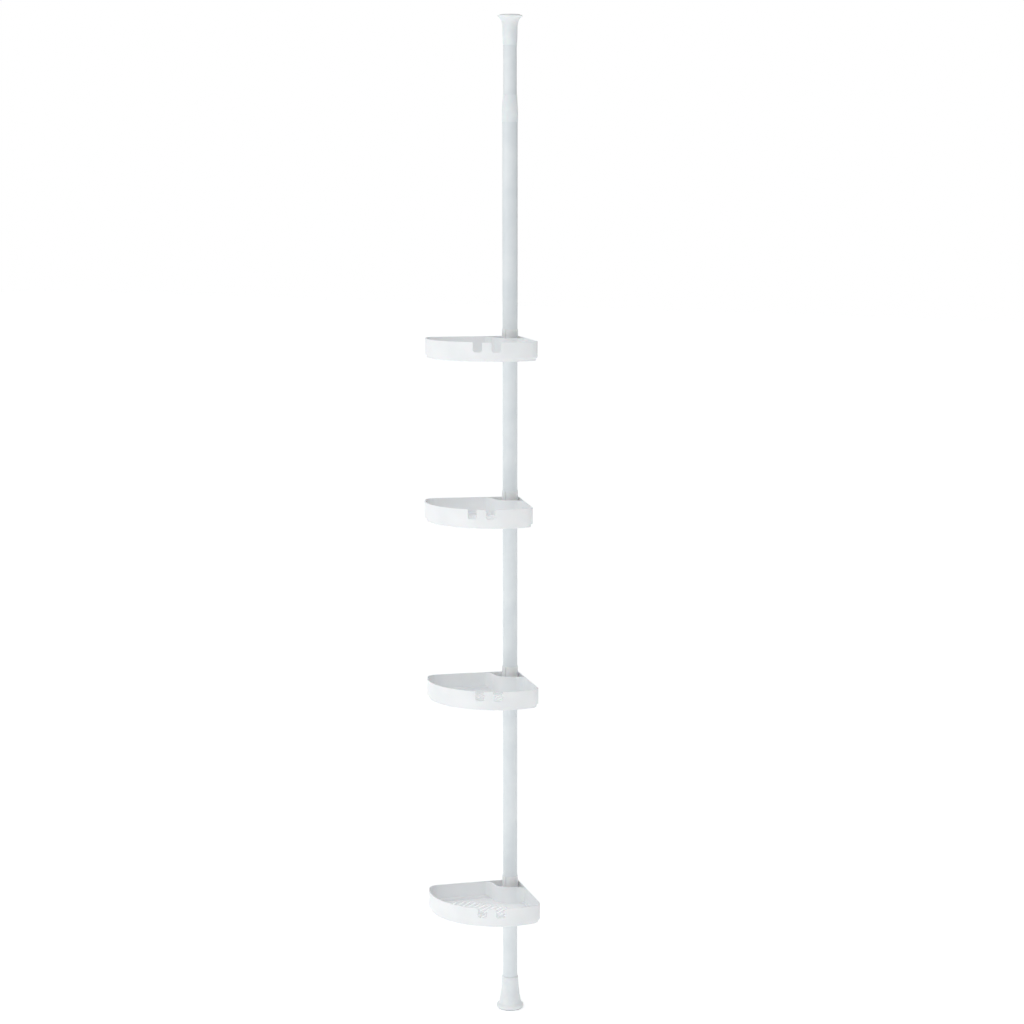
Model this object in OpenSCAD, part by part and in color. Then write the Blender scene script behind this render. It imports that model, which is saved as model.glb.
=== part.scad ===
// Floor-to-ceiling corner shower caddy: a spring-loaded telescopic pole that carries four corner trays.
// Origin on the pole's axis at the floor, +Z up, the fronts of the trays towards -Y. Millimetres.

/* [Pole] */
// Height from the floor to the top of the ceiling pad, with the spring relaxed
total_h = 1680; // [1640:5:1720]
// Outside diameter of the three main tube sections
pole_d = 25; // [24:0.5:26]
// Outside diameter of the telescopic upper tube
extension_d = 22; // [21:0.5:22.5]
// Wall of the steel tubes
tube_wall = 0.8; // [0.6:0.1:0.9]
// Length of the telescopic upper tube
extension_l = 495; // [470:5:500]
// Length of the sleeve that joins two main sections from inside
joiner_l = 90; // [60:5:100]

/* [Ends] */
// Widest diameter of the foot
foot_d = 46.4; // [44:0.2:50]
// Height of the foot, pad included
foot_h = 56; // [50:1:65]
// Widest diameter of the top cap
cap_d = 40.6; // [38:0.2:46]
// Height of the top cap, from its lower edge to its rim
cap_h = 48; // [44:1:52]
// Travel of the spring under the top cap
spring_travel = 18; // [10:1:18]

/* [Trays] */
// Height of each tray's rim above the floor, from the top tray to the bottom one
tray_rim_z = [1156, 886, 587, 222];
// Turn of each tray about the pole, from the top tray to the bottom one
tray_turn = [0, -3.5, 1, 2.5];
// Distance from the pole's axis back to the corner where the two straight walls meet
corner_back = 24.8; // [23:0.2:27]
// Radius of the bowed front wall
front_r = 116.3; // [112:0.1:124]
// Distance from the corner forward to the centre of the front wall's radius
front_centre = 68.5; // [60:0.5:72]
// Outside radius of the two rounded tips
tip_r = 20; // [14:1:24]
// Height of the side wall, from its lower edge to the rim
wall_h = 26.5; // [24:0.5:32]
// Depth of the drained pan below the side wall's lower edge
pan_drop = 5; // [3:0.1:6]
// Thickness of the walls and of the floor
wall_t = 2.2; // [1.8:0.1:2.6]

/* [Tray details] */
// Width of a drain slot
slot_w = 4; // [3:0.5:5]
// Distance between neighbouring drain slots
slot_pitch = 10; // [9:0.5:10.5]
// Width of a hanging notch in the front wall
notch_w = 15; // [10:0.5:16]
// Depth of a hanging notch below the rim
notch_h = 16; // [10:0.5:18]
// Outside radius of the curved wall round the pole
pocket_r = 29.5; // [27:0.5:31]
// Height of the clip above the rim
clip_up = 12; // [9:0.5:15]

/* [Hidden] */

$fn = 96;
eps = 0.5;           // how far a cutting shape runs past the face it cuts
running_gap = 0.05;  // radial clearance where one round piece slides or turns in another
free_gap = 0.3;      // clearance between faces that only pass each other
seat_gap = 0.02;     // radial clearance where a piece is pushed on for good

plastic_white = "#f3f5f6";
steel_white = "#e9edef";
clip_white = "#e4e7e9";
pad_grey = "#c9ccce";
bare_steel = "#b9bcc0";
nylon = "#dcd9cf";

// Pole
pole_r = pole_d / 2;
pole_bore_r = pole_r - tube_wall;
extension_r = extension_d / 2;
extension_bore_r = extension_r - tube_wall;
pole_base_z = 8;
section_count = 3;
reducer_peak_z = total_h - 155;
section_l = (reducer_peak_z - pole_base_z) / section_count;
joiner_wall = 1.5;
joiner_chamfer = 1;

// Ends
pad_t = 3;
floor_pad_proud = 1.5;
floor_pad_r = foot_d / 2 - 1.7;
ceiling_pad_proud = 1;
ceiling_pad_r = cap_d / 2 - 3.3;
cap_rim_z = total_h - ceiling_pad_proud;
cap_base_z = cap_rim_z - cap_h;
cap_web_t = 4;
cap_web_z = cap_rim_z - cap_web_t;
extension_top_z = cap_web_z - spring_travel - 2;
extension_base_z = extension_top_z - extension_l;

// Spring under the top cap
stem_r = extension_bore_r - free_gap;
stem_l = spring_travel + 15;
stem_base_z = cap_web_z - stem_l;
spring_l = 42;
seat_top_z = stem_base_z - spring_l;
seat_t = 10;
seat_spigot_r = 5;
seat_spigot_h = 6;
wire_r = 1;
spring_turns = 8;
spring_mean_r = stem_r - wire_r - 1;

// Twist lock inside the upper main section
plug_t = 30;
plug_top_z = extension_base_z - 2;
plug_base_z = plug_top_z - plug_t;
plug_slit_w = 1.5;
plug_slit_h = 20;
spindle_pin_r = 4;
spindle_plug_l = 25;
spindle_head_r = 7;
spindle_head_h = 6;

// Tray outline, in the tray's own frame: x to the side, y towards the corner, rim at z = 0
corner_r = 8;
tip_diag = tip_r * sqrt(2);
tip_reach = sqrt(2 * pow(front_r - tip_r, 2) - pow(front_centre - tip_diag, 2));
tip_ahead = (front_centre + tip_diag + tip_reach) / 2;
tip_side = tip_ahead - tip_diag;
tip_angle = atan2(tip_side, tip_ahead - front_centre);
corner_ahead = corner_r * sqrt(2);
front_y = corner_back - front_centre;
floor_z = wall_t - wall_h;
pan_z = -wall_h - pan_drop;
pan_inset = 2.8;

// Socket and clip
clip_wall = 0.95;
clip_bore_r = pole_r + running_gap;
clip_r = clip_bore_r + clip_wall;
socket_bore_r = clip_r + running_gap;
inner_wall = corner_back * sin(45) - wall_t;  // from the pole's axis to the inner face of each straight wall
socket_r = inner_wall + 0.5;
socket_drop = 8;                              // depth of the socket's upper end below the rim
clip_flange_r = 16.5;
clip_flange_h = 3.2;
clip_seat_gap = 0.1;
clip_slit = 1.2;
notch_angles = [18, 33];
notch_corner_r = 4;
slot_rows = 7;
slot_start = 70;         // distance from the corner to where the drain slots start
slot_bridge_ahead = 120;
slot_bridge = 9;

// Curved wall that closes the corner off as a pocket round the pole, blended into the straight walls
pocket_drop = 1.2;
pocket_fillet_r = 15;
pocket_reach = pocket_r + pocket_fillet_r;
pocket_fillet_off = inner_wall - pocket_fillet_r;
pocket_fillet_along = sqrt(pow(pocket_reach, 2) - pow(pocket_fillet_off, 2));
pocket_angle = 45 + atan2(pocket_fillet_off, pocket_fillet_along);
pocket_ahead = corner_back + pocket_reach * cos(pocket_angle);
pocket_side = pocket_reach * sin(pocket_angle);
pocket_drain_r = 2.5;
pocket_drain_angle = 40;

// n + 1 points of an arc about [ahead, side], as [x, y]; angles turn from straight ahead to the side
function arc(ahead, side, r, a0, a1, n) = [
    for (i = [0:n])
        let (a = a0 + (a1 - a0) * i / n)
        [side + r * sin(a), corner_back - ahead - r * cos(a)]
];

// Outline of the side wall, moved inwards by inset
function outline(inset) = concat(
    arc(front_centre, 0, front_r - inset, -tip_angle, tip_angle, 40),
    arc(tip_ahead, tip_side, tip_r - inset, tip_angle, 135, 10),
    arc(corner_ahead, 0, corner_r - inset, 135, 225, 6),
    arc(tip_ahead, -tip_side, tip_r - inset, -135, -tip_angle, 10)
);

// Outline of the pocket round the pole, moved inwards by inset; it ends inside the straight walls
function pocket(inset) =
    let (r = pocket_fillet_r + inset, turn = acos(min(1, (pocket_fillet_r + 1) / r)))
    concat(
        arc(pocket_ahead, -pocket_side, r, 225 - turn, 180 - pocket_angle, 8),
        arc(corner_back, 0, pocket_r - inset, -pocket_angle, pocket_angle, 16),
        arc(pocket_ahead, pocket_side, r, pocket_angle - 180, turn - 225, 8),
        [[0, (inner_wall + 1) / sin(45)]]
    );

// Distance ahead of the corner where the slot at the side distance x starts and ends
function slot_from(x) = max(x + 17, slot_start);
function slot_to(x) = front_centre + sqrt(pow(front_r - 14, 2) - x * x);

// A tube between two heights
module tube(r, bore_r, z0, z1) {
    translate([0, 0, z0])
        difference() {
            cylinder(h = z1 - z0, r = r);
            translate([0, 0, -eps]) cylinder(h = z1 - z0 + 2 * eps, r = bore_r);
        }
}

module floor_pad() {
    color(pad_grey) cylinder(h = pad_t, r = floor_pad_r);
}

// Flared foot with a socket for the lower section
module foot() {
    r = foot_d / 2;
    base_z = floor_pad_proud;
    color(plastic_white)
        difference() {
            rotate_extrude()
                polygon([
                    [0, base_z], [r - 0.8, base_z], [r, base_z + 0.8], [r, base_z + 4.2], [r - 0.9, base_z + 5.6],
                    [r - 3.4, base_z + 7.6], [r - 4.4, base_z + 10], [r - 5.4, base_z + 15], [r - 6.8, base_z + 23],
                    [r - 7.8, base_z + 31], [r - 8.6, base_z + 40], [r - 9.2, foot_h - 0.8], [r - 9.9, foot_h],
                    [0, foot_h]
                ]);
            translate([0, 0, pole_base_z]) cylinder(h = foot_h, r = pole_r + seat_gap);
            translate([0, 0, base_z - eps])
                cylinder(h = pad_t - floor_pad_proud + eps, r = floor_pad_r + seat_gap);
        }
}

// Main section number i, counted from the floor
module main_section(i) {
    color(steel_white)
        tube(pole_r, pole_bore_r, pole_base_z + i * section_l, pole_base_z + (i + 1) * section_l);
}

// Sleeve inside the joint above main section number i
module joiner(i) {
    r = pole_bore_r - seat_gap;
    half = joiner_l / 2;
    color(nylon)
        translate([0, 0, pole_base_z + (i + 1) * section_l])
            rotate_extrude()
                polygon([
                    [r - joiner_wall, -half], [r - joiner_chamfer, -half], [r, -half + joiner_chamfer],
                    [r, half - joiner_chamfer], [r - joiner_chamfer, half], [r - joiner_wall, half]
                ]);
}

// Tapered bush on the end of the upper section, which guides the telescopic tube
module reducer() {
    color(plastic_white)
        rotate_extrude()
            polygon([
                [pole_r + seat_gap, reducer_peak_z - 18], [pole_r + 0.35, reducer_peak_z - 18],
                [pole_r + 0.6, reducer_peak_z - 8], [pole_r + 0.6, reducer_peak_z + 1],
                [pole_r + 0.2, reducer_peak_z + 6], [extension_r + 0.9, reducer_peak_z + 22],
                [extension_r + 0.6, reducer_peak_z + 26], [extension_r + running_gap, reducer_peak_z + 26],
                [extension_r + running_gap, reducer_peak_z], [pole_r + seat_gap, reducer_peak_z]
            ]);
}

// Split plug that swells against the upper section when the telescopic tube is twisted
module expansion_plug() {
    color(nylon)
        difference() {
            tube(pole_bore_r - running_gap, spindle_pin_r + running_gap, plug_base_z, plug_top_z);
            for (turn = [0, 90])
                rotate([0, 0, turn])
                    translate([-pole_r, -plug_slit_w / 2, plug_base_z - eps])
                        cube([pole_d, plug_slit_w, plug_slit_h + eps]);
        }
}

// Spindle fixed in the lower end of the telescopic tube; its pin turns in the plug
module lock_spindle() {
    collar_z = plug_top_z + free_gap;
    head_top_z = plug_base_z - free_gap;
    color(nylon)
        union() {
            translate([0, 0, extension_base_z - eps])
                cylinder(h = spindle_plug_l + eps, r = extension_bore_r - seat_gap);
            translate([0, 0, collar_z]) cylinder(h = extension_base_z - collar_z, r = extension_r);
            translate([0, 0, head_top_z - eps]) cylinder(h = collar_z - head_top_z + 2 * eps, r = spindle_pin_r);
            translate([0, 0, head_top_z - spindle_head_h]) cylinder(h = spindle_head_h, r = spindle_head_r);
        }
}

module extension_pole() {
    color(steel_white) tube(extension_r, extension_bore_r, extension_base_z, extension_top_z);
}

// Plug fixed inside the telescopic tube that the spring stands on
module spring_seat() {
    color(nylon)
        union() {
            translate([0, 0, seat_top_z - seat_t]) cylinder(h = seat_t, r = extension_bore_r - seat_gap);
            translate([0, 0, seat_top_z - eps]) cylinder(h = seat_spigot_h + eps, r = seat_spigot_r);
        }
}

// Helical compression spring, swept along its wire
module tension_spring() {
    sides = 8;
    steps = 12 * spring_turns;
    rise = spring_l - 2 * wire_r - 0.4;
    points = [
        for (i = [0:steps], k = [0:sides - 1])
            let (
                turn = 360 * spring_turns * i / steps,
                r = spring_mean_r + wire_r * cos(360 * k / sides),
                z = seat_top_z + 0.2 + wire_r + rise * i / steps + wire_r * sin(360 * k / sides)
            )
            [r * cos(turn), r * sin(turn), z]
    ];
    walls = [
        for (i = [0:steps - 1], k = [0:sides - 1])
            let (a = i * sides, b = (i + 1) * sides, n = (k + 1) % sides)
            [a + k, b + k, b + n, a + n]
    ];
    first_end = [[for (k = [0:sides - 1]) k]];
    last_end = [[for (k = [sides - 1:-1:0]) steps * sides + k]];
    color(bare_steel) polyhedron(points = points, faces = concat(walls, first_end, last_end));
}

// Flared cap: its skirt slides over the telescopic tube and its stem pushes on the spring
module top_cap() {
    r = cap_d / 2;
    skirt_r = extension_r + running_gap;
    color(plastic_white)
        difference() {
            rotate_extrude()
                polygon([
                    [0, stem_base_z], [stem_r, stem_base_z], [stem_r, cap_web_z], [skirt_r, cap_web_z],
                    [skirt_r, cap_base_z], [extension_r + 0.6, cap_base_z], [extension_r + 0.85, cap_base_z + 8],
                    [extension_r + 1.1, cap_base_z + 15], [extension_r + 1.3, cap_base_z + 24],
                    [extension_r + 1.5, cap_base_z + 32], [extension_r + 2.4, cap_base_z + 37],
                    [extension_r + 3.9, cap_base_z + 40.5], [extension_r + 6.1, cap_base_z + 43.5],
                    [r - 1.4, cap_rim_z - 3], [r, cap_rim_z - 2], [r, cap_rim_z - 0.7], [r - 0.7, cap_rim_z],
                    [0, cap_rim_z]
                ]);
            translate([0, 0, total_h - pad_t]) cylinder(h = pad_t + eps, r = ceiling_pad_r + seat_gap);
        }
}

module ceiling_pad() {
    color(pad_grey) translate([0, 0, total_h - pad_t]) cylinder(h = pad_t, r = ceiling_pad_r);
}

// Curved wall of the pocket, from the pan's floor up
module pocket_wall() {
    base_z = pan_z + wall_t - eps;
    translate([0, 0, base_z])
        linear_extrude(-pocket_drop - base_z)
            intersection() {
                polygon(outline(wall_t - eps));
                difference() {
                    polygon(pocket(0));
                    polygon(pocket(wall_t));
                }
            }
}

// Two holes that drain the pocket
module pocket_drains() {
    r = (pocket_r - wall_t + socket_r) / 2;
    for (turn = [-pocket_drain_angle, pocket_drain_angle])
        rotate([0, 0, turn])
            translate([0, -r, pan_z - eps])
                cylinder(h = wall_t + 2 * eps, r = pocket_drain_r, $fn = 24);
}

// A slot with round ends, cut through the floor between two distances ahead of the corner
module drain_slot(x, from, to) {
    r = slot_w / 2;
    translate([x, corner_back - to, pan_z - eps]) {
        translate([0, r, 0]) cylinder(h = wall_t + 2 * eps, r = r);
        translate([0, to - from - r, 0]) cylinder(h = wall_t + 2 * eps, r = r);
        translate([-r, r, 0]) cube([slot_w, to - from - slot_w, wall_t + 2 * eps]);
    }
}

module drain_slots() {
    for (i = [-slot_rows:slot_rows]) {
        x = i * slot_pitch;
        from = slot_from(abs(x));
        to = slot_to(abs(x));
        back_end = slot_bridge_ahead - slot_bridge / 2;
        front_end = slot_bridge_ahead + slot_bridge / 2;
        if (back_end - from > 2 * slot_w) drain_slot(x, from, back_end);
        if (to - front_end > 2 * slot_w) drain_slot(x, front_end, to);
    }
}

// An open notch with rounded lower corners, cut through the front wall
module hanging_notch(angle) {
    low = notch_corner_r - notch_h;
    side = notch_w / 2 - notch_corner_r;
    reach = 4 * wall_t;
    translate([0, front_y, 0])
        rotate([0, 0, angle])
            translate([0, -front_r + 2 * wall_t, 0])
                rotate([90, 0, 0])
                    translate([0, 0, -wall_t])
                        linear_extrude(reach)
                            union() {
                                translate([-notch_w / 2, low]) square([notch_w, eps - low]);
                                translate([-side, -notch_h]) square([2 * side, notch_h]);
                                translate([side, low]) circle(r = notch_corner_r);
                                translate([-side, low]) circle(r = notch_corner_r);
                            }
}

// Tray number i, counted from the top
module tray(i) {
    color(plastic_white)
        translate([0, 0, tray_rim_z[i]])
            rotate([0, 0, tray_turn[i]])
                difference() {
                    union() {
                        difference() {
                            union() {
                                translate([0, 0, -wall_h]) linear_extrude(wall_h) polygon(outline(0));
                                translate([0, 0, pan_z])
                                    linear_extrude(pan_drop + eps) polygon(outline(pan_inset));
                            }
                            translate([0, 0, floor_z]) linear_extrude(wall_h) polygon(outline(wall_t));
                            translate([0, 0, pan_z + wall_t])
                                linear_extrude(wall_h) polygon(outline(pan_inset + wall_t));
                        }
                        translate([0, 0, pan_z]) cylinder(h = -socket_drop - pan_z, r = socket_r);
                        pocket_wall();
                    }
                    translate([0, 0, pan_z - eps]) cylinder(h = -pan_z, r = socket_bore_r);
                    drain_slots();
                    pocket_drains();
                    for (angle = notch_angles) hanging_notch(angle);
                }
}

// One half of the split clip that grips the pole under and inside tray number i; side is -1 or 1
module clip_half(i, side) {
    base_z = pan_z - clip_seat_gap - clip_flange_h;
    color(clip_white)
        translate([0, 0, tray_rim_z[i]])
            difference() {
                union() {
                    translate([0, 0, base_z]) cylinder(h = clip_up - base_z, r = clip_r);
                    translate([0, 0, base_z]) cylinder(h = clip_flange_h, r = clip_flange_r);
                }
                translate([0, 0, base_z - eps]) cylinder(h = clip_up - base_z + 2 * eps, r = clip_bore_r);
                translate([side > 0 ? -pole_d : -clip_slit / 2, -pole_d, base_z - eps])
                    cube([pole_d + clip_slit / 2, 2 * pole_d, clip_up - base_z + 2 * eps]);
            }
}

floor_pad();
foot();
main_section(0);  // lower_pole
joiner(0);  // lower_joiner
main_section(1);  // middle_pole
joiner(1);  // upper_joiner
main_section(2);  // upper_pole
reducer();
expansion_plug();
lock_spindle();
extension_pole();
spring_seat();
tension_spring();
top_cap();
ceiling_pad();
tray(0);  // top_tray
clip_half(0, -1);  // top_clip_left
clip_half(0, 1);  // top_clip_right
tray(1);  // second_tray
clip_half(1, -1);  // second_clip_left
clip_half(1, 1);  // second_clip_right
tray(2);  // third_tray
clip_half(2, -1);  // third_clip_left
clip_half(2, 1);  // third_clip_right
tray(3);  // bottom_tray
clip_half(3, -1);  // bottom_clip_left
clip_half(3, 1);  // bottom_clip_right
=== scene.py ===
import math

import bmesh
import bpy
from mathutils import Matrix, Vector


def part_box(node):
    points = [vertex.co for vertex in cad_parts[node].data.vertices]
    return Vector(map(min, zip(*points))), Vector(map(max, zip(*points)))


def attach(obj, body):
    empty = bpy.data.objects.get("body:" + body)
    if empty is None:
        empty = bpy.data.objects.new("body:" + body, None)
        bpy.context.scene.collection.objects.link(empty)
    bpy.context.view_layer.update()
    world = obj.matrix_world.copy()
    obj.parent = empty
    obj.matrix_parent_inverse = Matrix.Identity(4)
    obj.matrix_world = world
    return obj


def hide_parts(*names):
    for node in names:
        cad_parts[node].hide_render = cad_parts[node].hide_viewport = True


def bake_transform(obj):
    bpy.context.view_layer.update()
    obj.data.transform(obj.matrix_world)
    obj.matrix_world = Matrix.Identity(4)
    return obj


# A floor-to-ceiling shower caddy: a spring-loaded telescopic steel pole with four moulded corner trays.
# Lengths below are in millimetres unless a name says otherwise; meshes are made in metres.

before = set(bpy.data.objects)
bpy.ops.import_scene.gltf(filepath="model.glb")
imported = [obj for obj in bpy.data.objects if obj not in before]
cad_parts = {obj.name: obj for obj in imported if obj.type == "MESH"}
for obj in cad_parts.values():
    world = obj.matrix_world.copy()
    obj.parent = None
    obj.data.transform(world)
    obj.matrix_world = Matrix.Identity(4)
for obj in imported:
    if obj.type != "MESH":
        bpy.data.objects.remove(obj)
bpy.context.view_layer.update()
MM = 0.001


def limits(node):
    """Lowest and highest corner of a CAD node in millimetres."""
    low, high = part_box(node)
    return low / MM, high / MM


def radius(node):
    """Outer radius of a round CAD node that stands on the pole's axis."""
    low, high = limits(node)
    return (high.x - low.x) / 2


POLE_R = radius("upper_pole")
EXTENSION_R = radius("extension_pole")
TUBE_WALL = 0.8
RUNNING_GAP = 0.05
SEAT_GAP = 0.02
TRAYS = ("top", "second", "third", "bottom")
TRAY_TURN = (0.0, -3.5, 1.0, 2.5)  # degrees about the pole, as the trays stand at rest


# --------------------------------------------------------------------------------------------------
# Meshes
# --------------------------------------------------------------------------------------------------

def place_mesh(name, mesh):
    """A shown object for a mesh that is already in its place."""
    piece = bpy.data.objects.new(name, mesh)
    bpy.context.scene.collection.objects.link(piece)
    return piece


def rounded(points, radius, steps=4):
    """A closed outline with each corner rounded. radius is one number, or one for each point."""
    radii = radius if hasattr(radius, "__len__") else [radius] * len(points)
    outline = []
    for i, corner in enumerate(points):
        corner = Vector(corner)
        before = Vector(points[i - 1]) - corner
        after = Vector(points[(i + 1) % len(points)]) - corner
        angle = before.angle(after)
        if radii[i] <= 0 or angle > math.radians(176):
            outline.append(corner)
            continue
        reach = min(radii[i] / math.tan(angle / 2), before.length * 0.49, after.length * 0.49)
        r = reach * math.tan(angle / 2)
        centre = corner + (before.normalized() + after.normalized()).normalized() * (r / math.sin(angle / 2))
        start = corner + before.normalized() * reach - centre
        end = corner + after.normalized() * reach - centre
        sweep = start.angle_signed(end)
        for k in range(steps + 1):
            turn = -sweep * k / steps
            outline.append(centre + Vector((
                start.x * math.cos(turn) - start.y * math.sin(turn),
                start.x * math.sin(turn) + start.y * math.cos(turn),
            )))
    return outline


def revolve(name, profile, sides=96, start=0.0, sweep=360.0):
    """A solid of revolution about the pole's axis from a closed outline of (radius, height)."""
    whole = sweep >= 360
    rings = sides if whole else sides + 1
    bm = bmesh.new()
    grid = []
    for i in range(rings):
        turn = math.radians(start + sweep * i / sides)
        x, y = math.cos(turn), math.sin(turn)
        grid.append([bm.verts.new((r * x * MM, r * y * MM, z * MM)) for r, z in profile])
    count = len(profile)
    for i in range(sides):
        a, b = grid[i], grid[(i + 1) % rings]
        for k in range(count):
            n = (k + 1) % count
            bm.faces.new((a[k], b[k], b[n], a[n]))
    if not whole:
        bm.faces.new(grid[0])
        bm.faces.new(list(reversed(grid[-1])))
    bmesh.ops.remove_doubles(bm, verts=bm.verts, dist=1e-6)
    bmesh.ops.recalc_face_normals(bm, faces=bm.faces)
    mesh = bpy.data.meshes.new(name)
    bm.to_mesh(mesh)
    bm.free()
    return mesh


def loft(name, loops):
    """A closed solid through loops of the same number of points, each a list of (x, y, z) in millimetres."""
    bm = bmesh.new()
    rows = [[bm.verts.new(Vector(p) * MM) for p in loop] for loop in loops]
    for low, high in zip(rows, rows[1:]):
        for k in range(len(low)):
            n = (k + 1) % len(low)
            bm.faces.new((low[k], low[n], high[n], high[k]))
    bm.faces.new(list(reversed(rows[0])))
    bm.faces.new(rows[-1])
    bmesh.ops.recalc_face_normals(bm, faces=bm.faces)
    mesh = bpy.data.meshes.new(name)
    bm.to_mesh(mesh)
    bm.free()
    return mesh


def evaluated(piece, name):
    """The piece's mesh with its modifiers applied, as a plain mesh."""
    graph = bpy.context.evaluated_depsgraph_get()
    mesh = bpy.data.meshes.new_from_object(piece.evaluated_get(graph), depsgraph=graph)
    mesh.name = name
    return mesh


def discard(*pieces):
    for piece in pieces:
        bpy.data.objects.remove(piece)


def finish_mesh(mesh, sharp_angle=40):
    """Smooth shading that follows the large faces and turns sharp only where the surface does."""
    bm = bmesh.new()
    bm.from_mesh(mesh)
    bmesh.ops.dissolve_degenerate(bm, dist=1e-7, edges=bm.edges)
    bmesh.ops.delete(bm, geom=[e for e in bm.edges if not e.link_faces], context="EDGES")
    bmesh.ops.triangulate(bm, faces=[f for f in bm.faces if len(f.verts) > 4])
    bm.to_mesh(mesh)
    bm.free()
    for polygon in mesh.polygons:
        polygon.use_smooth = True
    mesh.set_sharp_from_angle(angle=math.radians(sharp_angle))
    piece = place_mesh("shaded", mesh)
    change = piece.modifiers.new("shading", "WEIGHTED_NORMAL")
    change.keep_sharp = True
    made = evaluated(piece, mesh.name)
    discard(piece)
    return made


def combine(mesh, *steps):
    """Boolean steps on a mesh, each an (operation, mesh) pair, one after the other."""
    piece = place_mesh("boolean_body", mesh)
    tools = []
    for operation, tool_mesh in steps:
        tool = place_mesh("boolean_tool", tool_mesh)
        change = piece.modifiers.new(operation.lower(), "BOOLEAN")
        change.operation = operation
        change.solver = "EXACT"
        change.object = tool
        tools.append(tool)
    made = evaluated(piece, mesh.name)
    discard(piece, *tools)
    return made


# --------------------------------------------------------------------------------------------------
# Nodes
# --------------------------------------------------------------------------------------------------

def add(tree, kind, wires=None, **settings):
    """Adds a node with its settings. wires maps an input to a value or to the socket that feeds it."""
    node = tree.nodes.new(kind)
    for key, value in settings.items():
        setattr(node, key, value)
    for key, value in (wires or {}).items():
        if isinstance(value, bpy.types.NodeSocket):
            tree.links.new(value, node.inputs[key])
        else:
            node.inputs[key].default_value = value
    return node


def linear(hex_colour):
    """An sRGB hex colour as opaque linear RGBA."""
    channels = [int(hex_colour[i:i + 2], 16) / 255 for i in (1, 3, 5)]
    return [c / 12.92 if c <= 0.04045 else ((c + 0.055) / 1.055) ** 2.4 for c in channels] + [1.0]


def per_mm(size):
    """Texture scale of a pattern whose features are this many millimetres across."""
    return 1 / (size * MM)


def new_tree(name, inputs):
    """An empty Geometry Nodes tree with these inputs, as (tree, its input node)."""
    tree = bpy.data.node_groups.new(name, "GeometryNodeTree")
    for label, kind in inputs:
        tree.interface.new_socket(label, in_out="INPUT", socket_type=kind)
    tree.interface.new_socket("Result", in_out="OUTPUT", socket_type="NodeSocketGeometry")
    return tree, add(tree, "NodeGroupInput")


def end_tree(tree, geometry, finish):
    """Closes a tree with Realize Instances and Set Material."""
    real = add(tree, "GeometryNodeRealizeInstances", {"Geometry": geometry})
    painted = add(tree, "GeometryNodeSetMaterial", {"Geometry": real.outputs[0], "Material": finish})
    add(tree, "NodeGroupOutput", {0: painted.outputs[0]})
    return tree


def cut_tree():
    """Copies a cutter to each place, turns and stretches it, and cuts it out of the solid."""
    tree, given = new_tree("cut_openings", [
        ("Solid", "NodeSocketGeometry"), ("Places", "NodeSocketObject"), ("Cutter", "NodeSocketObject"),
        ("Finish", "NodeSocketMaterial"),
    ])
    places = add(tree, "GeometryNodeObjectInfo", {"Object": given.outputs["Places"]})
    cutter = add(tree, "GeometryNodeObjectInfo", {"Object": given.outputs["Cutter"]})
    turn = add(tree, "GeometryNodeInputNamedAttribute", {"Name": "turn"}, data_type="FLOAT")
    stretch = add(tree, "GeometryNodeInputNamedAttribute", {"Name": "stretch"}, data_type="FLOAT")
    far_end = add(tree, "GeometryNodeInputNamedAttribute", {"Name": "far_end"}, data_type="FLOAT")
    spin = add(tree, "ShaderNodeCombineXYZ", {"Z": turn.outputs["Attribute"]})
    copies = add(tree, "GeometryNodeInstanceOnPoints", {
        "Points": places.outputs["Geometry"], "Instance": cutter.outputs["Geometry"],
        "Rotation": spin.outputs[0],
    })
    real = add(tree, "GeometryNodeRealizeInstances", {"Geometry": copies.outputs[0]})
    reach = add(tree, "ShaderNodeMath", {
        0: stretch.outputs["Attribute"], 1: far_end.outputs["Attribute"],
    }, operation="MULTIPLY")
    along = add(tree, "ShaderNodeCombineXYZ", {"Y": reach.outputs[0]})
    turned = add(tree, "ShaderNodeVectorRotate", {
        "Vector": along.outputs[0], "Angle": turn.outputs["Attribute"],
    }, rotation_type="Z_AXIS")
    stretched = add(tree, "GeometryNodeSetPosition", {
        "Geometry": real.outputs[0], "Offset": turned.outputs[0],
    })
    cut = add(tree, "GeometryNodeMeshBoolean", {
        "Mesh 1": given.outputs["Solid"], "Mesh 2": stretched.outputs[0],
    }, operation="DIFFERENCE", solver="EXACT")
    return end_tree(tree, cut.outputs["Mesh"], given.outputs["Finish"])


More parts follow.
